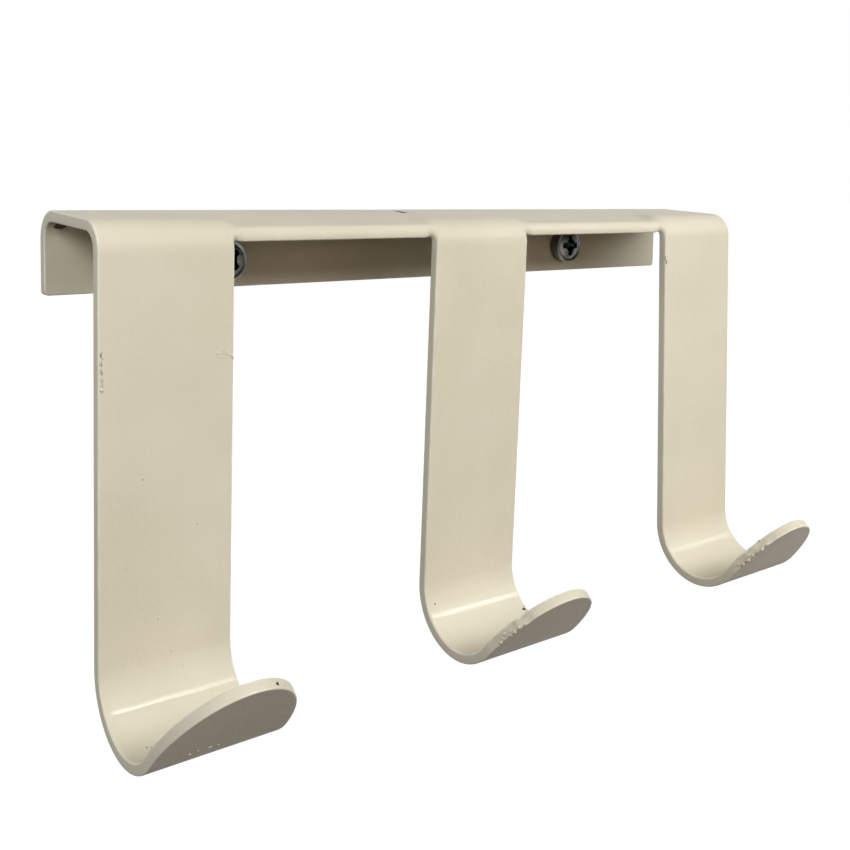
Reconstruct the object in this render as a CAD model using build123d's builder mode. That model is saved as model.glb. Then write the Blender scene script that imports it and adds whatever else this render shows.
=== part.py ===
from build123d import *
import os

# Wall hook rack: one folded sheet with strips that hang down and curl into hooks, held by two pan-head screws.
# Millimetres and degrees. The origin is on the flange's back face, midway between the screw axes.
# +X runs along the rack, -Y points out from the wall and +Z is up.

# Folded sheet
rack_length = 200.0
rack_depth = 32.0  # back of the flange to the front of an upright strip
sheet = 2.5
bend_radius = 6.5  # outer radius of the two long bends
top_fall = 3.0  # slope of the top, down towards the front
flange_height = 18.6  # highest line of the top to the flange's lower edge
flange_corner_radius = 1.0
cutout_angle = 62.0  # how far round the front bend the sheet runs between the strips
cutout_corner_radius = 2.0

# Strips and hooks, left to right
strip_width = 30.0
strip_drops = (84.6, 85.4, 84.5)  # straight length from the front bend to the hook
strip_leans = (1.1, 1.9, -1.8)  # out of upright, lower end towards the wall
hook_inner_radius = 12.5
hook_sweep = 140.0
tongue_lengths = (20.7, 19.5, 18.1)  # half-ellipses that end the hooks

# Pan-head screws with a cross recess
screw_end_distance = 42.7  # screw axis to the nearer end of the rack
screw_drop = 11.4  # highest line of the top to the origin
screw_stagger = 0.5  # the left hole sits lower and the right hole higher
hole_clearance = 0.5
thread_diameter = 5.0
neck_diameter = 3.9
screw_length = 19.0  # under the head, with the point
point_length = 4.0
head_diameter = 10.0
head_height = 4.0
rim_radius = 2.4
seat_diameter = 8.7  # flat ring under the head
seat_bevel = 0.3
recess_span = 6.0
recess_slot = 1.6
recess_core = 2.5  # side of the square between the slots, a corner along each
recess_depth = 2.4
recess_taper = 8.0
screw_turns = (45.0, 0.0)  # how far each cross is turned

strip_pitch = (rack_length - strip_width) / (len(strip_drops) - 1)
screw_x = rack_length / 2 - screw_end_distance
screw_places = ((-screw_x, -screw_stagger), (screw_x, screw_stagger))
bend_start = screw_drop - bend_radius


def sheet_plane(x, line):
    """Plane in the sheet's outer face at the end of a profile line, with its Y axis along the line."""
    end = line @ 1
    heading = line % 1
    return Plane(origin=(x, end.X, end.Y), x_dir=(1, 0, 0), z_dir=(0, -heading.Y, heading.X))


with BuildPart() as body:
    # Flange, top and the start of the front bend, along the whole rack
    with BuildSketch(Plane.YZ.offset(-rack_length / 2)):
        with BuildLine():
            flange = Line((0, screw_drop - flange_height), (0, bend_start))
            back_bend = JernArc(flange @ 1, flange % 1, bend_radius, 90 + top_fall)
            top = PolarLine(
                back_bend @ 1,
                rack_depth - 2 * bend_radius,
                direction=back_bend % 1,
                length_mode=LengthMode.HORIZONTAL,
            )
            ledge = JernArc(top @ 1, top % 1, bend_radius, cutout_angle)
            offset(amount=sheet, side=Side.LEFT)
        make_face()
    extrude(amount=rack_length)
    fillet(body.edges().filter_by(Axis.Y).sort_by(Axis.Z)[:2], flange_corner_radius)

    # Screw holes through the flange
    with BuildSketch(Plane.XZ):
        with Locations(*screw_places):
            Circle((thread_diameter + hole_clearance) / 2)
    extrude(amount=sheet, mode=Mode.SUBTRACT)

# Each strip goes on round the front bend, hangs down and curls forward into a hook
strips = []
for index, (drop, lean, tongue) in enumerate(zip(strip_drops, strip_leans, tongue_lengths)):
    strip_x = (strip_width - rack_length) / 2 + index * strip_pitch
    gap_sides = [side for side in (-1, 1) if 0 <= index + side < len(strip_drops)]
    reach = drop + strip_width + 4 * hook_inner_radius
    with BuildPart() as strip:
        with BuildSketch(Plane.YZ.offset(strip_x)):
            with BuildLine():
                root = JernArc(ledge @ 1, ledge % 1, bend_radius, 90 - top_fall + lean - cutout_angle)
                run = PolarLine(root @ 1, drop, direction=root % 1)
                curl = JernArc(run @ 1, run % 1, hook_inner_radius, -hook_sweep)
                offset(amount=sheet, side=Side.LEFT)
            make_face()
        extrude(amount=strip_width / 2 + cutout_corner_radius, both=True)

        # Front outline: the strip's width, with the cut-outs' rounded corners at its root
        with BuildSketch(sheet_plane(strip_x, ledge)):
            Rectangle(strip_width, reach, align=(Align.CENTER, Align.MIN))
            for side in gap_sides:
                with Locations((side * (strip_width + cutout_corner_radius) / 2, cutout_corner_radius / 2)):
                    Rectangle(cutout_corner_radius, cutout_corner_radius)
                with Locations((side * (strip_width / 2 + cutout_corner_radius), cutout_corner_radius)):
                    Circle(cutout_corner_radius, mode=Mode.SUBTRACT)
        extrude(amount=reach, both=True, mode=Mode.INTERSECT)

        # The hook ends in a flat tongue with a half-ellipse outline
        with BuildSketch(sheet_plane(strip_x, curl)):
            with BuildLine():
                tip = EllipticalCenterArc((0, 0), strip_width / 2, tongue, arc_size=180)
                Line(tip @ 1, tip @ 0)
            make_face()
        extrude(amount=sheet)
    strips.append(strip.part)

with BuildPart() as hook_rack:
    add(body.part)
    add(strips)

with BuildPart() as screw:
    seat = -sheet
    front = seat - head_height
    point = seat + screw_length
    head_r = head_diameter / 2
    neck_r = neck_diameter / 2
    thread_r = thread_diameter / 2
    # Half section, from the seat round the head and down to the point
    with BuildSketch(Plane.XY):
        with BuildLine():
            side = Line((head_r, seat - seat_bevel), (head_r, front + rim_radius))
            rim = JernArc(side @ 1, side % 1, rim_radius, -90)
            Polyline(
                rim @ 1,
                (0, front),
                (0, point),
                (thread_r, point - point_length),
                (thread_r, 0),
                (neck_r, 0),
                (neck_r, seat),
                (seat_diameter / 2, seat),
                side @ 0,
            )
        make_face()
    revolve(axis=Axis.Y)
    # Cross recess
    with BuildSketch(Plane.XZ.offset(-front)):
        Rectangle(recess_span, recess_slot)
        Rectangle(recess_slot, recess_span)
        Rectangle(recess_core, recess_core, rotation=45)
    extrude(amount=-recess_depth, taper=recess_taper, mode=Mode.SUBTRACT)

with BuildPart() as mounting_screws:
    with Locations(*[Location((x, 0, z), (0, turn, 0)) for (x, z), turn in zip(screw_places, screw_turns)]):
        add(screw.part)

os.makedirs("parts", exist_ok=True)
hook_rack.part.label = "hook_rack"
export_step(hook_rack.part, "parts/hook_rack.step")
mounting_screws.part.label = "mounting_screws"
export_step(mounting_screws.part, "parts/mounting_screws.step")
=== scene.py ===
import math
from collections import namedtuple

import bpy
from mathutils import Matrix, Vector, noise


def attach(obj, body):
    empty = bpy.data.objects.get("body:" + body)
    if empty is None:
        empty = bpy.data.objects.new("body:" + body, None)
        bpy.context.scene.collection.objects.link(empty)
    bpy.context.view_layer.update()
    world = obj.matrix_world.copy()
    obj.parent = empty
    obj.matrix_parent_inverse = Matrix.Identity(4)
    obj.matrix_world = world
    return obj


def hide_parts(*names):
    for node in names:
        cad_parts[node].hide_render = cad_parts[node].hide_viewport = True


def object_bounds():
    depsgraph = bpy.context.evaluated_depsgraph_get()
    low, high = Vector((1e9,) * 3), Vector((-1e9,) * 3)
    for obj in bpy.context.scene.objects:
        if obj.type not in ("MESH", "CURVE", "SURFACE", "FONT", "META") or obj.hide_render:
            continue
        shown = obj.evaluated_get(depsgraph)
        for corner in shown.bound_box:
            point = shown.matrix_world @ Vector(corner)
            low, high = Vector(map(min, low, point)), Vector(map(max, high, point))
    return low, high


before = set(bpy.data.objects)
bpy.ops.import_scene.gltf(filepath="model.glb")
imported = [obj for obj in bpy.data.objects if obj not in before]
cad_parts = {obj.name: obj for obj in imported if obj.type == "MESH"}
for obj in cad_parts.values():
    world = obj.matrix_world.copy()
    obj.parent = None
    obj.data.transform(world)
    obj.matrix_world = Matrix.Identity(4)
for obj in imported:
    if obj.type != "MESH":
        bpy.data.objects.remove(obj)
cad_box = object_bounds()

MM = 0.001

# Sizes of the solids, in millimetres and degrees
LENGTH, SHEET, BEND, FALL = 200.0, 2.5, 6.5, 3.0
DEPTH, DROP_TO_SCREW, FLANGE, FLANGE_CORNER = 32.0, 11.4, 18.6, 1.0
CUT_ANGLE, CUT_CORNER = 62.0, 2.0
STRIP, PITCH = 30.0, 85.0
DROPS, LEANS = (84.6, 85.4, 84.5), (1.1, 1.9, -1.8)
HOOK, SWEEP, TONGUES = 12.5, 140.0, (20.7, 19.5, 18.1)
SCREW_X, STAGGER, HOLE = 57.3, 0.5, 2.75

# Forms that only the looks have
EDGE, BACK_EDGE = 0.5, 0.35  # radius that the paint gives the edges of the sheet's two faces
LIP_FALL, LIP_FRONT, LIP_ROUND = 7.2, 30.4, 1.9  # the sheet is hardly bent between the strips
LIP_SWELL = 0.24  # added share of thickness at the lip's edge
LIP_BLEND = 2.5  # how far below the lip's edge a strip's root still follows it
LIP_SIDES, TOP_SIDES = (14.2, 18.2), (3, 32)  # off a strip's middle, where lip and slope start and are whole
SAG, SAG_SIDES = 0.6, (98, 45)  # dip of the top, and how far off its middle it starts and is whole

# Cells of the mesh
HOLE_CELLS, HOLE_MARGIN = 6, 1.4
STRIP_ROWS, CURL_ROWS, TONGUE_ROWS = 90, 66, 36
ARC_STEPS, RIM_STEPS = 6, 5
BEAD_RINGS, BEAD_SIDES = 6, 10
HEAD_SIDES, SHANK_SIDES = 96, 32

Run = namedtuple("Run", "start y z heading curve length")
BACK_BEND, TOP, LEDGE, ROOT, STRAIGHT, CURL, TONGUE = range(1, 8)  # a strip's runs after the flange


def advance(y, z, heading, curve, length):
    """Place and heading at the end of a line, or of an arc where there is a curve."""
    if not curve:
        return y + length * math.cos(heading), z + length * math.sin(heading), heading
    turned = heading + curve * length
    y += (math.sin(turned) - math.sin(heading)) / curve
    z -= (math.cos(turned) - math.cos(heading)) / curve
    return y, z, turned


def runs_of(plan):
    """Runs along the sheet's outer line, from the flange's lower edge upwards."""
    runs, start, y, z, heading = [], 0.0, 0.0, DROP_TO_SCREW - FLANGE, math.pi / 2
    for curve, length in plan:
        runs.append(Run(start, y, z, heading, curve, length))
        y, z, heading = advance(y, z, heading, curve, length)
        start += length
    return runs


def strip_plan(strip):
    """Curve and length of each run, down to the tip of that strip's hook."""
    return [
        (0, FLANGE - BEND),
        (1 / BEND, BEND * math.radians(90 + FALL)),
        (0, (DEPTH - 2 * BEND) / math.cos(math.radians(FALL))),
        (1 / BEND, BEND * math.radians(CUT_ANGLE)),
        (1 / BEND, BEND * math.radians(90 - FALL + LEANS[strip] - CUT_ANGLE)),
        (0, DROPS[strip]),
        (-1 / HOOK, HOOK * math.radians(SWEEP)),
        (0, TONGUES[strip]),
    ]


RUNS = [runs_of(strip_plan(i)) for i in range(3)]
S_BEND, S_TOP, S_LEDGE, S_CUT = (RUNS[0][i].start for i in (BACK_BEND, TOP, LEDGE, ROOT))
LIP = runs_of([
    (0, FLANGE - BEND),
    (1 / BEND, BEND * math.radians(90 + LIP_FALL)),
    (0, (LIP_FRONT - BEND) / math.cos(math.radians(LIP_FALL))),
])
LIP_END = LIP[-1].start + LIP[-1].length


def smooth(a, b, x):
    """0 at a and 1 at b, with an easy start and end."""
    x = min(max((x - a) / (b - a), 0.0), 1.0)
    return x * x * (3 - 2 * x)


def spread(a, b, n):
    """Values from a to b in n even steps."""
    return [a + (b - a) * i / n for i in range(n + 1)]


def in_gap(x, a, b):
    """0 on the strips and 1 between them; it rises from a to b millimetres off a strip's middle."""
    return smooth(a, b, abs(x)) * smooth(PITCH - a, PITCH - b, abs(x))


def along(runs, s, t):
    """Place on a profile at length s and depth t into the sheet: (y, z)."""
    run = next((r for r in runs if s <= r.start + r.length), runs[-1])
    y, z, heading = advance(run.y, run.z, run.heading, run.curve, s - run.start)
    return y - t * math.sin(heading), z + t * math.cos(heading)


def on_sheet(strip, x, s, t):
    """Point at x along the rack, s along the sheet and t into its thickness, in metres."""
    y, z = along(RUNS[strip], s, t)
    if S_BEND < s < S_CUT + LIP_BLEND:
        # The top falls a little more between the strips, and its front edge stays almost flat there
        wide, near = in_gap(x, *TOP_SIDES), in_gap(x, *LIP_SIDES)
        gap = wide + (near - wide) * smooth(S_LEDGE - 8, S_LEDGE + 1.5, s)
        gap *= smooth(S_CUT + LIP_BLEND, S_CUT, s)
        to_lip = (s - S_BEND) / (S_CUT - S_BEND) * (LIP_END - S_BEND) + S_BEND
        lip_y, lip_z = along(LIP, to_lip, t * (1 + LIP_SWELL * smooth(S_CUT - 5, S_CUT, s)))
        y, z = y + (lip_y - y) * gap, z + (lip_z - z) * gap
        sag = SAG * smooth(S_TOP, S_LEDGE + 2, s) * smooth(S_CUT, S_LEDGE + 2, s) * (1 - gap)
        z -= sag * smooth(*SAG_SIDES, abs(x))
    return Vector((x, y, z)) * MM


def to_gap(x, s):
    """Distance from the edge of the cut-outs between the strips."""
    a = abs(x) if abs(x) < PITCH / 2 else PITCH - abs(x)
    if a >= STRIP / 2 + CUT_CORNER:
        return S_CUT - s
    if s >= S_CUT + CUT_CORNER:
        return STRIP / 2 - a
    return math.hypot(STRIP / 2 + CUT_CORNER - a, S_CUT + CUT_CORNER - s) - CUT_CORNER


def front_radius(x, s):
    """Radius of the front face's edge: larger along the lips between the strips and round their corners."""
    if s < S_LEDGE or abs(x) > PITCH:
        return EDGE
    return EDGE + (LIP_ROUND - EDGE) * smooth(S_CUT + LIP_BLEND, S_CUT - 0.5, s)


def rim_section(r):
    """Points round the rim from the front face to the back: (distance outwards, depth)."""
    first = math.asin(1 - EDGE / r)
    turns = [first + (math.pi / 2 - first) * i / RIM_STEPS for i in range(1, RIM_STEPS + 1)]
    section = [(EDGE - r * (1 - math.sin(a)), r * (1 - math.cos(a))) for a in turns]
    section.append((EDGE, (r + SHEET - BACK_EDGE) / 2))
    for a in (math.radians(90 * i / RIM_STEPS) for i in range(RIM_STEPS + 1)):
        section.append((EDGE - BACK_EDGE * (1 - math.cos(a)), SHEET - BACK_EDGE * (1 - math.sin(a))))
    return section


HIGHLIGHT_SHARE = (0.4, 1, 1, 0.4, 0, 0, 0, 0.4, 1, 1, 0.4, 0)  # painted highlight: how much each point of a rim section is lightened, where the rounded edge catches light


def left_edge(strip, s):
    """x of a hook's left edge."""
    reach = max(s - RUNS[strip][TONGUE].start, 0.0) / TONGUES[strip]
    return (strip - 1) * PITCH - STRIP / 2 * math.sqrt(max(1 - reach * reach, 0.0))


FLAKING = {1: (170, 183), 2: (169, 182)}  # stretch of each hook's left edge where the paint flakes


def flaky(strip, x, s):
    """1 where the paint flakes on the left edges of the middle and right hooks."""
    if strip not in FLAKING or x > (strip - 1) * PITCH:
        return 0.0
    first, last = FLAKING[strip]
    return smooth(first, first + 2, s) * smooth(last, last - 2, s)


class Sheet:
    """The painted sheet as a fine grid on each face, with a rounded rim between the two."""

    def __init__(self):
        self.points, self.strip, self.faces, self.out, self.beads = [], [], [], {}, []

    def vertex(self, x, s, strip=0, out=None):
        """Adds a place on the sheet; on a rim it also has the direction outwards."""
        self.points.append((x, s))
        self.strip.append(strip)
        if out:
            self.out[len(self.points) - 1] = out
        return len(self.points) - 1

    def body(self):
        """Flange, top and front edge along the whole rack, with a round hole for each screw."""
        half = LENGTH / 2 - EDGE
        shoulder = LENGTH / 2 - STRIP - CUT_CORNER
        inner = STRIP / 2 + CUT_CORNER
        block = HOLE + HOLE_MARGIN
        # Columns of the right half: each mark's place and the number of columns up to it
        marks = [(inner, 0), (inner + 2, 6), (SCREW_X - block, 26), (SCREW_X + block, HOLE_CELLS)]
        marks += [(shoulder - 2, 4), (shoulder, 6), (shoulder + 4, 8), (half, 22)]
        right = []
        for (a, _), (b, n) in zip(marks, marks[1:]):
            right += spread(a, b, n)[1:]
        middle = spread(-inner, 4 - inner, 8) + spread(4 - inner, inner - 4, 20)[1:]
        middle += spread(inner - 4, inner, 8)[1:]
        xs = [-x for x in reversed(right)] + middle + right
        # Rows: length along the sheet, where the row ends and the direction outwards there
        corner = FLANGE_CORNER - EDGE
        rows = []
        for i in range(ARC_STEPS + 1):
            a = math.radians(90 * i / ARC_STEPS)
            end = LENGTH / 2 - FLANGE_CORNER + corner * math.sin(a)
            rows.append((FLANGE_CORNER - corner * math.cos(a), end, (math.sin(a), -math.cos(a))))
        hole_s = FLANGE - DROP_TO_SCREW
        rest = spread(hole_s - block, hole_s + block, HOLE_CELLS)
        rest += spread(S_BEND, S_TOP, 16) + spread(S_TOP, S_LEDGE, 15)[1:]
        rest += [S_CUT - d for d in (6.1, 5.2, 4.2, 3.3, 2.6, 2.1, 1.7, 1.35, 1.05, 0.75, EDGE)]
        rows += [(s, half, (1.0, 0.0)) for s in rest]
        grid = []
        for j, (s, end, out) in enumerate(rows):
            line = []
            for i, x in enumerate(xs):
                if abs(x) > shoulder:
                    past = (abs(x) - shoulder) * (end - shoulder) / (half - shoulder)
                    x = math.copysign(shoulder + past, x)
                side = None
                if i in (0, len(xs) - 1):
                    side = (math.copysign(out[0], x), out[1])
                elif j == 0:
                    side = (0.0, -1.0)
                elif j == len(rows) - 1 and inner - 1e-6 <= abs(x) <= shoulder + 1e-6:
                    side = (0.0, 1.0)
                line.append(self.vertex(x, s, 0, side))
            grid.append(line)
        blocks = []
        for side in (-1, 1):
            i0 = min(range(len(xs)), key=lambda i: abs(xs[i] - (side * SCREW_X - block)))
            j0 = min(range(len(rows)), key=lambda j: abs(rows[j][0] - (hole_s - block)))
            blocks.append((side * SCREW_X, hole_s + side * STAGGER, i0, j0))
        for j in range(len(rows) - 1):
            for i in range(len(xs) - 1):
                if not any(a <= i < a + HOLE_CELLS and b <= j < b + HOLE_CELLS for _, _, a, b in blocks):
                    self.faces.append((grid[j][i], grid[j][i + 1], grid[j + 1][i + 1], grid[j + 1][i]))
        for cx, cs, i0, j0 in blocks:
            self.hole(cx, cs, grid, i0, j0)
        self.last_row, self.columns = grid[-1], xs

    def hole(self, cx, cs, grid, i0, j0):
        """Two rings of cells from the open square in the grid to a round hole."""
        cells, i1, j1 = range(HOLE_CELLS), i0 + HOLE_CELLS, j0 + HOLE_CELLS
        square = [grid[j0][i0 + k] for k in cells] + [grid[j0 + k][i1] for k in cells]
        square += [grid[j1][i1 - k] for k in cells] + [grid[j1 - k][i0] for k in cells]
        ring = square
        for step in (0.5, 1.0):
            inside = []
            for v in square:
                x, s = self.points[v]
                a = math.atan2(s - cs, x - cx)
                to_x, to_s = cx + (HOLE + EDGE) * math.cos(a), cs + (HOLE + EDGE) * math.sin(a)
                out = (-math.cos(a), -math.sin(a)) if step == 1.0 else None
                inside.append(self.vertex(x + (to_x - x) * step, s + (to_s - s) * step, 0, out))
            for k in range(len(ring)):
                n = (k + 1) % len(ring)
                self.faces.append((ring[k], ring[n], inside[n], inside[k]))
            ring = inside

    def hook(self, index):
        """A strip from the front edge down, and its hook out to the tip."""
        cx = (index - 1) * PITCH
        reach, flush = STRIP / 2 + CUT_CORNER, STRIP / 2 - EDGE
        sides = (-1, 1)
        cut = [0 <= index + side < len(RUNS) for side in sides]  # where a cut-out lies beside the strip
        left, right = (reach if is_cut else flush for is_cut in cut)
        columns = zip(self.last_row, self.columns)
        below = [v for v, x in columns if -left - 1e-6 <= x - cx <= right + 1e-6]
        share = [(self.points[v][0] - cx + left) / (left + right) for v in below]
        # Rows: length along the sheet, then the half width and the direction outwards on each side
        rows = []
        for i in range(1, ARC_STEPS + 1):
            a = math.radians(90 * i / ARC_STEPS)
            round_x = reach - (CUT_CORNER + EDGE) * math.sin(a)
            round_s = CUT_CORNER - (CUT_CORNER + EDGE) * math.cos(a)
            pair = []
            for side, is_cut in zip(sides, cut):
                corner = (round_x, (side * math.sin(a), math.cos(a)))
                pair.append(corner if is_cut else (flush, (float(side), 0.0)))
            rows.append((S_CUT + round_s, pair))
        straight, curl, flat = (RUNS[index][i].start for i in (STRAIGHT, CURL, TONGUE))
        for s in spread(straight, curl, STRIP_ROWS) + spread(curl, flat, CURL_ROWS)[1:]:
            rows.append((s, [(flush, (float(side), 0.0)) for side in sides]))
        tongue = TONGUES[index]
        for i in range(1, TONGUE_ROWS):
            a = math.radians(90 * i / TONGUE_ROWS)
            nx, ns = math.cos(a) / (STRIP / 2), math.sin(a) / tongue
            n = math.hypot(nx, ns)
            nx, ns = nx / n, ns / n
            width = STRIP / 2 * math.cos(a) - EDGE * nx
            s = flat + tongue * math.sin(a) - EDGE * ns
            rows.append((s, [(width, (side * nx, ns)) for side in sides]))
        for s, ((left, out_l), (right, out_r)) in rows:
            line = []
            for i, part in enumerate(share):
                out = out_l if i == 0 else out_r if i == len(share) - 1 else None
                line.append(self.vertex(cx - left + (left + right) * part, s, index, out))
            for i in range(len(share) - 1):
                self.faces.append((below[i], below[i + 1], line[i + 1], line[i]))
            below = line
        tip = self.vertex(cx, flat + tongue - EDGE, index, (0.0, 1.0))
        for i in range(len(share) - 1):
            self.faces.append((below[i], below[i + 1], tip))

    def bead(self, strip, x, s, t, size, wear_and_shade=0.0, turn=0.0):
        """A small uneven ball with half sizes along x, s and t: raised paint, or with wear_and_shade the dark
        colour of chipped paint, which inside the left end paints a shadow.
        """
        c, n = math.cos(math.radians(turn)), math.sin(math.radians(turn))
        verts = []
        for i in range(BEAD_RINGS + 1):
            for j in range(BEAD_SIDES if 0 < i < BEAD_RINGS else 1):
                a, b = math.pi * i / BEAD_RINGS, 2 * math.pi * j / BEAD_SIDES
                p = Vector((math.sin(a) * math.cos(b), math.sin(a) * math.sin(b), math.cos(a)))
                p *= 1 + 0.5 * noise.noise(p * 1.6 + Vector((x, s, t)) * 1.7)
                dx, ds = p.x * size[0], p.y * size[1]
                verts.append((x + dx * c - ds * n, s + dx * n + ds * c, t + p.z * size[2], strip))
        faces, tip = [], len(verts) - 1
        for j in range(BEAD_SIDES):
            k = (j + 1) % BEAD_SIDES
            faces.append((0, 1 + j, 1 + k))
            for a in range(1, tip - BEAD_SIDES, BEAD_SIDES):
                faces.append((a + j, a + BEAD_SIDES + j, a + BEAD_SIDES + k, a + k))
            faces.append((tip - BEAD_SIDES + j, tip, tip - BEAD_SIDES + k))
        self.beads.append((verts, faces, wear_and_shade))

    def build(self, name):
        """The two faces, the rim between them and the beads as one mesh."""
        n = len(self.points)
        places = []
        for (x, s), k in zip(self.points, self.strip):
            r, d = front_radius(x, s), max(to_gap(x, s), 0.0)
            rounded = EDGE < r and d < r
            places.append((x, s, r - math.sqrt(r * r - (r - d) ** 2) if rounded else 0.0, k))
        places += [(x, s, SHEET, k) for (x, s), k in zip(self.points, self.strip)]
        faces = [tuple(reversed(f)) for f in self.faces] + [tuple(i + n for i in f) for f in self.faces]
        used = dict.fromkeys(edge for f in self.faces for edge in zip(f, f[1:] + f[:1]))
        rim = [(a, b) for a, b in used if (b, a) not in used]
        rings, painted_highlight = {}, [0.0] * len(places)
        for v in sorted({v for edge in rim for v in edge}):
            (x, s), k, (nx, ns) = self.points[v], self.strip[v], self.out[v]
            r, flaking = front_radius(x, s), flaky(k, x, s)
            chain = [v]
            for (d, t), share in zip(rim_section(r), HIGHLIGHT_SHARE):
                # Painted highlight along the rims: lighter where the rounded edge catches light, less where the
                # rounding is wide, and patchy
                patchy = 0.75 + 0.5 * noise.noise(Vector((x * 0.2, s * 0.2, t)))
                painted_highlight.append(share * (EDGE / r) ** 2 * patchy)
                d -= flaking * (0.5 + noise.noise(Vector((x * 0.9, s * 1.7, t * 1.4)))) * 0.6
                chain.append(len(places))
                places.append((x + d * nx, s + d * ns, t, k))
            rings[v] = chain + [v + n]
        for a, b in rim:
            for (a0, a1), (b0, b1) in zip(zip(rings[a], rings[a][1:]), zip(rings[b], rings[b][1:])):
                faces.append((a0, b0, b1, a1))
        worn_and_shaded = [0.0] * len(places)
        for verts, bead_faces, wear_and_shade in self.beads:
            faces += [tuple(i + len(places) for i in f) for f in bead_faces]
            places += verts
            worn_and_shaded += [wear_and_shade] * len(verts)
            painted_highlight += [0.0] * len(verts)
        points = [on_sheet(k, x, s, t) for x, s, t, k in places]
        # Nothing reaches past the solids' box
        points = [[min(max(v, a), b) for v, a, b in zip(p, *cad_box)] for p in points]
        obj = new_object(name, points, faces, {"wear_and_shade": worn_and_shaded, "painted_highlight": painted_highlight})
        uv = obj.data.uv_layers.new(name="sheet")
        for loop in obj.data.loops:
            x, s, _, _ = places[loop.vertex_index]
            uv.data[loop.index].uv = (x / LENGTH + 0.5, s / LENGTH)
        return obj


def new_object(name, points, faces, values):
    """A smooth mesh object with a named value at each point."""
    mesh = bpy.data.meshes.new(name)
    mesh.from_pydata(points, [], faces)
    for key, numbers in values.items():
        mesh.attributes.new(key, "FLOAT", "POINT").data.foreach_set("value", numbers)
    mesh.polygons.foreach_set("use_smooth", [True] * len(mesh.polygons))
    obj = bpy.data.objects.new(name, mesh)
    bpy.context.scene.collection.objects.link(obj)
    return obj


sheet = Sheet()
sheet.body()
for index in range(len(RUNS)):
    sheet.hook(index)
# Painted shadow inside the left end: a dark patch in the back corner, and the fold of paint that casts it
sheet.bead(0, -96.9, 18.0, 2.5, (1.6, 1.7, 0.26), 1.0, 28)
sheet.bead(0, -96.0, 15.9, 2.5, (1.1, 0.3, 0.2), 0.0, 12)
# Run of paint on the left strip's left edge: a dark patch at its top, ridges, and a thin darker line beside each
# ridge
sheet.bead(0, -99.35, 71.7, 0.05, (0.26, 0.6, 0.18), 0.5, 4)
sheet.bead(0, -99.0, 72.3, 0.0, (0.25, 0.5, 0.2))
for s, half in ((73.3, 0.8), (74.9, 0.9), (76.5, 0.8), (77.7, 0.6)):
    sheet.bead(0, -99.5 + 0.04 * (s - 73), s, 0.08, (0.2, half, 0.26))
    sheet.bead(0, -99.2 + 0.04 * (s - 73), s + 0.3, 0.02, (0.13, half * 0.8, 0.09), 0.3)
sheet.bead(0, -99.25, 78.8, 0.0, (0.35, 0.4, 0.3))
# Cracked paint by its right edge
for x, s, a, b, wear_and_shade, turn in (
    (-73.5, 73.6, 0.75, 0.22, 0.0, -8),
    (-72.1, 73.2, 0.6, 0.2, 0.0, 12),
    (-70.9, 74.1, 0.7, 0.18, 0.0, 30),
    (-70.4, 74.7, 0.4, 0.2, 0.2, 35),
    (-72.9, 74.4, 0.9, 0.14, 0.08, -4),
    (-71.7, 73.9, 0.5, 0.14, 0.1, 15),
):
    sheet.bead(0, x, s, 0.0, (a, b, 0.14), wear_and_shade, turn)
# Grit under the left strip's paint
for x, s in ((-93.8, 116.3), (-87.0, 128.3), (-84.0, 135.9), (-81.6, 139.7), (-90.4, 98.0), (-78.2, 109.5)):
    sheet.bead(0, x, s, 0.0, (0.3, 0.34, 0.12), 0.02)
# Small chips: two in the left hook and one on its rim, then the top, the middle strip and the right strip's edge
sheet.bead(0, -94.9, 155.2, 0.0, (0.22, 0.3, 0.1), 0.6)
sheet.bead(0, -94.2, 155.8, 0.0, (0.2, 0.2, 0.1), 0.5)
sheet.bead(0, -79.8, 186.1, 1.5, (0.4, 0.35, 0.4), 0.95)
sheet.bead(1, -11.6, 28.5, 0.0, (0.9, 2.0, 0.1), 1.0)
sheet.bead(1, -10.3, 30.0, 0.0, (0.5, 1.2, 0.14))
sheet.bead(1, -12.4, 142.6, 0.0, (0.2, 0.25, 0.1), 0.8)
sheet.bead(2, 70.15, 57.6, 0.1, (0.2, 0.9, 0.3))
sheet.bead(2, 70.45, 58.7, 0.0, (0.16, 0.75, 0.1), 0.8, 6)
# Ridge of paint under the left hook
for x, half in ((-91.9, 0.5), (-90.3, 0.2), (-87.8, 0.6), (-85.9, 0.25)):
    sheet.bead(0, x, 167.6 + 0.2 * math.sin(x * 2), 2.5, (half, 0.13, 0.11))
# Chips on the middle hook's right edge
for x, s, t, size in (
    (13.7, 150.4, 0.0, (0.5, 0.45, 0.16)),
    (14.3, 149.7, 0.2, (0.35, 0.35, 0.25)),
    (14.6, 151.4, 0.3, (0.3, 0.5, 0.3)),
):
    sheet.bead(1, x, s, t, size, 0.95)
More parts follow.
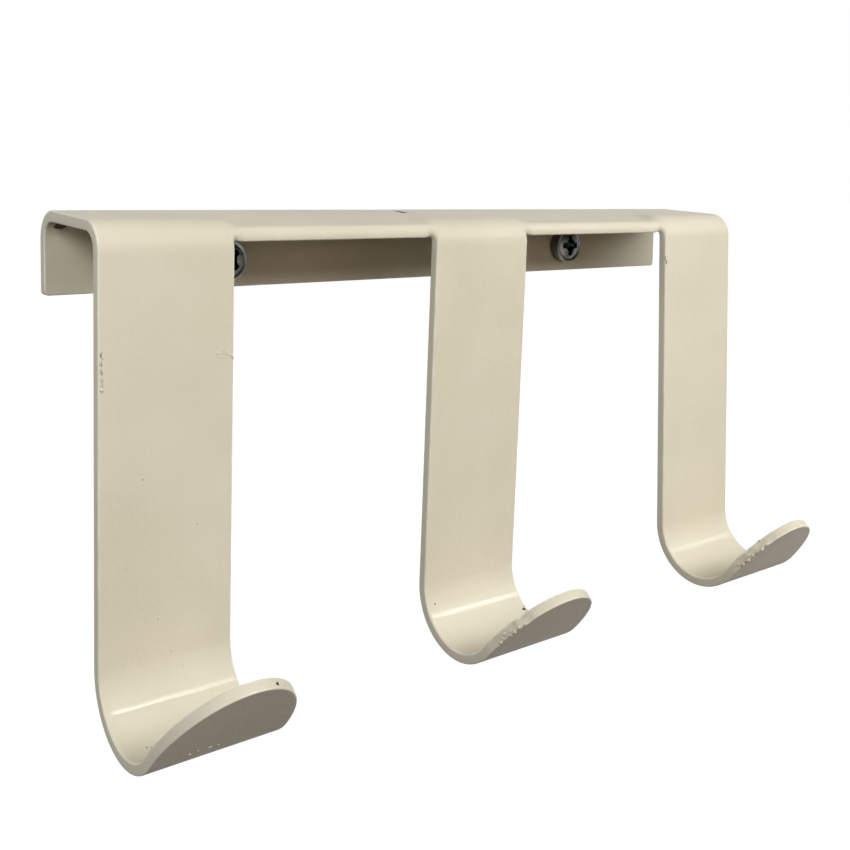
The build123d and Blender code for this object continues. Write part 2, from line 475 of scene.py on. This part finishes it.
# Flakes on the left edges of the middle and right hooks, then the bare spots between them
FLAKE_SCALE = 1.3
for strip, s, t, size in (
    (1, 173.6, 2.35, (0.35, 0.7, 0.35)), (1, 175.4, 1.3, (0.35, 0.4, 0.35)), (1, 176.6, 2.3, (0.3, 0.45, 0.3)),
    (1, 178.0, 2.4, (0.35, 0.4, 0.3)), (1, 179.2, 2.2, (0.4, 0.5, 0.4)), (1, 180.6, 2.45, (0.3, 0.5, 0.25)),
    (1, 172.4, 2.4, (0.25, 0.5, 0.3)), (1, 174.6, 1.8, (0.25, 0.3, 0.3)), (1, 177.2, 1.7, (0.25, 0.3, 0.3)),
    (2, 171.8, 2.3, (0.4, 0.6, 0.35)), (2, 173.5, 2.45, (0.35, 0.55, 0.35)), (2, 175.3, 2.4, (0.35, 0.5, 0.3)),
    (2, 176.6, 2.2, (0.3, 0.35, 0.3)), (2, 177.9, 2.45, (0.4, 0.45, 0.35)), (2, 179.4, 2.4, (0.35, 0.55, 0.3)),
    (2, 170.6, 1.6, (0.3, 0.4, 0.3)), (2, 174.4, 1.7, (0.25, 0.3, 0.3)),
):
    sheet.bead(strip, left_edge(strip, s) + 0.15, s, t, [FLAKE_SCALE * v for v in size])
for strip, s, t, wear_and_shade in (
    (1, 174.2, 2.45, 0.5),
    (1, 178.6, 2.45, 0.4),
    (2, 172.7, 2.4, 0.7),
    (2, 176.0, 2.5, 0.5),
    (2, 178.6, 0.2, 0.6),
):
    sheet.bead(strip, left_edge(strip, s) + 0.1, s, t, (0.2, 0.3, 0.2), wear_and_shade)
rack = sheet.build("painted_rack")
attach(rack, "root")
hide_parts("hook_rack")


def srgb(r, g, b):
    """Linear colour of a screen colour."""
    return tuple(c / 12.92 / 255 if c <= 10 else ((c / 255 + 0.055) / 1.055) ** 2.4 for c in (r, g, b))


class Look:
    """A material with the nodes that feed its Principled shader."""

    def __init__(self, name):
        self.material = bpy.data.materials.new(name)
        self.material.use_nodes = True
        self.nodes, self.links = self.material.node_tree.nodes, self.material.node_tree.links
        self.shader = self.nodes["Principled BSDF"]
        self.coords = self.nodes.new("ShaderNodeTexCoord")

    def set(self, socket, value):
        """Gives the shader's socket a constant, or the output of another node."""
        if isinstance(value, float):
            self.shader.inputs[socket].default_value = value
        else:
            self.links.new(value, self.shader.inputs[socket])

    def noise(self, scale, detail):
        n = self.nodes.new("ShaderNodeTexNoise")
        n.inputs["Scale"].default_value = scale
        n.inputs["Detail"].default_value = detail
        self.links.new(self.coords.outputs["Object"], n.inputs["Vector"])
        return n.outputs["Fac"]

    def mottle(self, scale, detail, first, second, low=0.3, high=0.7):
        """Noise that goes from the first colour to the second."""
        n = self.nodes.new("ShaderNodeValToRGB")
        for stop, place, colour in zip(n.color_ramp.elements, (low, high), (first, second)):
            stop.position = place
            stop.color = (*colour, 1.0)
        self.links.new(self.noise(scale, detail), n.inputs["Fac"])
        return n.outputs["Color"]

    def mix(self, attribute, first, second):
        """The first colour where the mesh's named value is 0, and the second where it is 1."""
        value = self.nodes.new("ShaderNodeAttribute")
        value.attribute_name = attribute
        n = self.nodes.new("ShaderNodeMix")
        n.data_type = "RGBA"
        for source, socket in ((value.outputs["Fac"], 0), (first, 6), (second, 7)):
            self.links.new(source, n.inputs[socket])
        return n.outputs[2]

    def bump(self, height, strength, distance, normal=None):
        n = self.nodes.new("ShaderNodeBump")
        n.inputs["Strength"].default_value = strength
        n.inputs["Distance"].default_value = distance
        self.links.new(height, n.inputs["Height"])
        if normal is not None:
            self.links.new(normal, n.inputs["Normal"])
        return n.outputs["Normal"]


def grey(value):
    return (value, value, value)


paint = Look("cream_powder_coat")
tone = paint.mottle(35, 3, srgb(214, 207, 187), srgb(221, 214, 196))
# Painted highlight: a pale tone along the rims, where the rounded edges catch light
highlight_tone = paint.mottle(500, 2, srgb(240, 234, 220), srgb(250, 246, 236))
# Dark colour of chips in the paint; inside the left end the same colour paints a shadow
bare_and_shade = paint.mottle(1500, 3, srgb(46, 36, 28), srgb(92, 79, 63))
paint.set("Base Color", paint.mix("wear_and_shade", paint.mix("painted_highlight", tone, highlight_tone), bare_and_shade))
paint.set("Roughness", paint.mottle(60, 4, grey(0.5), grey(0.58)))
paint.set("IOR", 1.45)
paint.set("Specular IOR Level", 0.12)
paint.set("Coat Weight", 0.12)
paint.set("Coat Roughness", 0.07)
swell = paint.bump(paint.noise(280, 2), 1.0, 0.00004)
peel = paint.bump(paint.noise(900, 2), 0.15, 0.0004, swell)
paint.set("Normal", peel)
paint.set("Coat Normal", swell)
rack.data.materials.append(paint.material)

# Screws: head, seat, neck, thread and half the recess's span and slot are measured from the axis
HEAD, HEAD_HIGH, RIM, SEAT, BEVEL = 5.0, 4.0, 2.4, 4.35, 0.3
NECK, THREAD, SCREW_LONG, POINT, LEAD = 1.9, 2.48, 19.0, 4.0, 2.0
SPAN, SLOT, CORE, RECESS = 3.0, 0.75, 2.6, 2.4
RECESS_WALL = 0.14  # how far in from its edge the recess takes to fall by 1 mm
FLOOR_RISE = 0.55  # share of the recess's depth that is lost at the ends of its slots
SHADE_DEPTH = 0.5  # depth in the recess at which the painted shade is whole
SHARP = 38  # degrees between faces that stay a hard edge

zinc = Look("zinc_screw")
plate = zinc.mottle(400, 3, srgb(98, 99, 95), srgb(128, 127, 120), 0.35, 0.65)
# Painted shade: a dark tone in the cross recess, darker with depth
recess_shade_tone = zinc.mottle(900, 2, srgb(22, 34, 34), srgb(44, 58, 56))
zinc.set("Base Color", zinc.mix("recess_shade", plate, recess_shade_tone))
zinc.set("Roughness", zinc.mottle(700, 3, grey(0.3), grey(0.4)))
zinc.set("Metallic", 1.0)


def recess(p, q):
    """Depth of the cross recess at a place on the head."""
    p, q = abs(p), abs(q)
    inside = max(min(SLOT - p, SPAN - q), min(SLOT - q, SPAN - p), (CORE - p - q) / math.sqrt(2))
    floor_at = RECESS * (1 - FLOOR_RISE * (p * p + q * q) / SPAN ** 2)
    return min(max(inside, 0.0) / RECESS_WALL, floor_at)


def lathe(verts, faces, rings, n):
    """Closed skin through rings of points; the first and last ring are single points."""
    base = len(verts)
    verts.append(rings[0][0])
    for ring in rings[1:-1]:
        verts.extend(ring)
    verts.append(rings[-1][0])
    last = len(verts) - 1
    for j in range(n):
        k = (j + 1) % n
        faces.append((base, base + 1 + j, base + 1 + k))
        for i in range(len(rings) - 3):
            a, b = base + 1 + i * n, base + 1 + (i + 1) * n
            faces.append((a + j, b + j, b + k, a + k))
        faces.append((last, last - n + k, last - n + j))


def screw(verts, faces, dark, cx, cz, turn):
    """Adds a domed head with its recess, and a threaded shank that starts inside the head."""
    front, seat = -SHEET - HEAD_HIGH, -SHEET
    radii = [0.0] + spread(0.06, 3.2, 44) + [HEAD * math.sin(math.radians(a)) for a in range(42, 91, 3)]
    profile = [(r, front + RIM * (1 - (1 - (r / HEAD) ** 2.5) ** 0.4)) for r in radii]
    profile += [(HEAD, seat - BEVEL), (SEAT, seat), (NECK, seat), (0.0, seat)]
    n, rings, hollow = HEAD_SIDES, [], []
    for r, y in profile:
        ring = []
        for j in range(n):
            a = 2 * math.pi * j / n
            b = a - math.radians(turn)
            on_front = r < HEAD - 0.01 and y < seat - 1
            deep = recess(r * math.cos(b), r * math.sin(b)) if on_front else 0.0
            hollow.append(deep)
            ring.append(Vector((cx + r * math.cos(a), y + deep, cz + r * math.sin(a))) * MM)
        rings.append(ring)
    lathe(verts, faces, rings, n)
    dark += [hollow[0]] + hollow[n:-n] + [hollow[-1]]
    end = seat + SCREW_LONG
    n, rings = SHANK_SIDES, []
    for y in [seat - 0.5, seat - 0.4] + spread(0.3, end - 0.05, 110) + [end]:
        envelope = THREAD * min(1.0, max(end - y, 0.0) / POINT)
        root = envelope * 0.7 if y > 0.3 else NECK
        ring = []
        for j in range(n):
            a = 2 * math.pi * j / n
            phase = abs(((y / LEAD + j / n) % 1.0) * 2 - 1)
            r = root + (envelope - root) * smooth(0.5, 0.95, phase) * smooth(0.3, 1.5, y)
            ring.append(Vector((cx + r * math.cos(a), y, cz + r * math.sin(a))) * MM)
        rings.append(ring)
    lathe(verts, faces, rings, n)
    dark += [0.0] * (len(verts) - len(dark))


verts, faces, dark = [], [], []
screw(verts, faces, dark, -SCREW_X, -STAGGER, 45)
screw(verts, faces, dark, SCREW_X, STAGGER, 0)
# Painted shade in the recesses, whole from a set depth down
screws = new_object("zinc_screws", verts, faces, {"recess_shade": [min(d / SHADE_DEPTH, 1.0) for d in dark]})
screws.data.set_sharp_from_angle(angle=math.radians(SHARP))
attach(screws, "root")
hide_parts("mounting_screws")
screws.data.materials.append(zinc.material)

# Lamps, in metres and watts
MIDDLE_Y = MIDDLE_Z = -0.03


def area(name, place, target, size_x, size_y, power, tint):
    """A rectangular lamp that faces the target."""
    data = bpy.data.lights.new(name, "AREA")
    data.shape = "RECTANGLE"
    data.size, data.size_y, data.energy, data.color = size_x, size_y, power, tint
    obj = bpy.data.objects.new(name, data)
    bpy.context.scene.collection.objects.link(obj)
    obj.location = place
    obj.rotation_euler = (Vector(target) - Vector(place)).to_track_quat("-Z", "Y").to_euler()
    return obj


def aimed(turn, rise, away, x=0.0):
    """A place that far from the middle: turn to the left of the front and rise, in degrees."""
    a, e = math.radians(turn), math.radians(rise)
    y = MIDDLE_Y - away * math.cos(a) * math.cos(e)
    return (x - away * math.sin(a) * math.cos(e), y, MIDDLE_Z + away * math.sin(e))


def middle(x):
    return (x, MIDDLE_Y, MIDDLE_Z)


warm, cool, amber = (1, 0.99, 0.96), (0.97, 1, 1), (1, 0.78, 0.58)
key = area("key", aimed(0, 32, 0.45, 0.5), middle(0.5), 1.1, 0.15, 3.2, warm)
key.visible_glossy = False
# Narrow lamps that only gloss shows, for the highlight line across each hook
for name, place, target, length, power in (
    ("gleam_left", (0.149, -0.384, 0.341), (-0.085, -0.032, -0.152), 0.21, 0.024),
    ("gleam_middle", (0.37, -0.355, 0.258), (0, -0.032, -0.085), 0.15, 0.012),
    ("gleam_right", (0.542, -0.275, 0.217), (0.085, -0.032, -0.085), 0.15, 0.0045),
):
    gleam = area(name, place, target, length, 0.085, power, warm)
    gleam.data.spread = math.radians(14)
    gleam.visible_diffuse = False
area("left", aimed(50, 30, 0.5, -0.08), middle(-0.08), 0.3, 0.2, 1.5, cool)
area("right", aimed(-45, 22, 0.6, 0.08), middle(0.08), 0.2, 0.2, 0.5, warm)
fill = area("fill", aimed(10, 6, 0.8), middle(0), 1.2, 0.2, 0.85, amber)
fill.visible_glossy = False
back = area("back", aimed(180, 4, 0.9), (0, 0, -0.04), 1.2, 0.3, 3, warm)
back.visible_glossy = back.visible_camera = False

# Floor
FLOOR_HALF, FLOOR_Z = 25, -0.3
floor_mesh = bpy.data.meshes.new("floor")
corners = [(x * FLOOR_HALF, y * FLOOR_HALF, FLOOR_Z) for x, y in ((-1, -1), (1, -1), (1, 1), (-1, 1))]
floor_mesh.from_pydata(corners, [], [(0, 1, 2, 3)])
floor = bpy.data.objects.new("floor", floor_mesh)
bpy.context.scene.collection.objects.link(floor)


def pick_seen(nodes, links, unseen, seen, surface):
    """Gives one shader to the rays that show the background itself, and the other to the rest."""
    path = nodes.new("ShaderNodeLightPath")
    shown = path.outputs["Is Camera Ray"]
    for extra in ("Is Glossy Ray", "Is Transmission Ray"):
        either = nodes.new("ShaderNodeMath")
        either.operation = "MAXIMUM"
        links.new(shown, either.inputs[0])
        links.new(path.outputs[extra], either.inputs[1])
        shown = either.outputs[0]
    pick = nodes.new("ShaderNodeMixShader")
    for source, socket in zip((shown, unseen, seen), pick.inputs):
        links.new(source, socket)
    links.new(pick.outputs[0], surface)


# The floor is white where it is seen, and gives the object a dark brown bounce
pale = bpy.data.materials.new("pale_floor")
pale.use_nodes = True
nodes, links = pale.node_tree.nodes, pale.node_tree.links
nodes.clear()
out = nodes.new("ShaderNodeOutputMaterial")
bounce = nodes.new("ShaderNodeBsdfDiffuse")
bounce.inputs["Color"].default_value = (0.02, 0.011, 0.006, 1)
shade = nodes.new("ShaderNodeBsdfDiffuse")
shade.inputs["Color"].default_value = (0.16, 0.16, 0.165, 1)
glow = nodes.new("ShaderNodeEmission")
where = nodes.new("ShaderNodeNewGeometry")
away = nodes.new("ShaderNodeVectorMath")
away.operation = "LENGTH"
links.new(where.outputs["Position"], away.inputs[0])
whiten = nodes.new("ShaderNodeMapRange")
# From these two distances to these two strengths
for socket, value in zip(whiten.inputs[1:5], (0.45, 1.3, 0.955, 1.0)):
    socket.default_value = value
links.new(away.outputs["Value"], whiten.inputs[0])
links.new(whiten.outputs[0], glow.inputs["Strength"])
lit = nodes.new("ShaderNodeAddShader")
links.new(shade.outputs[0], lit.inputs[0])
links.new(glow.outputs[0], lit.inputs[1])
pick_seen(nodes, links, bounce.outputs[0], lit.outputs[0], out.inputs["Surface"])
floor_mesh.materials.append(pale)

# World: white where it is seen, and a dim warm sky for the rest
scene = bpy.context.scene
world = bpy.data.worlds.new("studio")
scene.world = world
world.use_nodes = True
nodes, links = world.node_tree.nodes, world.node_tree.links
sky = nodes["Background"]
sky.inputs["Strength"].default_value = 0.1
sky.inputs["Color"].default_value = (1, 0.97, 0.92, 1)
white = nodes.new("ShaderNodeBackground")
white.inputs["Strength"].default_value = 1.0
white.inputs["Color"].default_value = (1, 1, 1, 1)
pick_seen(nodes, links, sky.outputs[0], white.outputs[0], nodes["World Output"].inputs["Surface"])

# Camera, as fitted to the photograph: focal length in pixels of a square picture
FOCAL, PICTURE, SENSOR = 1110.0, 850, 36.0
YAW, TILT, ROLL = 0.6762, -0.0845, 0.0163
PLACE = (-0.18409, -0.24015, 0.018265)
cam_data = bpy.data.cameras.new("camera")
cam = bpy.data.objects.new("camera", cam_data)
scene.collection.objects.link(cam)
flat = math.cos(TILT)
ahead = Vector((math.sin(YAW) * flat, math.cos(YAW) * flat, math.sin(TILT)))
level = Vector((math.cos(YAW), -math.sin(YAW), 0))
rise = level.cross(ahead)
right = level * math.cos(ROLL) + rise * math.sin(ROLL)
up = rise * math.cos(ROLL) - level * math.sin(ROLL)
cam.matrix_world = Matrix.Translation(PLACE) @ Matrix((right, up, -ahead)).transposed().to_4x4()
cam_data.sensor_width = SENSOR
cam_data.lens = FOCAL / PICTURE * SENSOR
cam_data.shift_x, cam_data.shift_y = -0.00654, -0.17311
cam_data.clip_start = 0.01
scene.camera = cam
scene.view_settings.view_transform = "Standard"
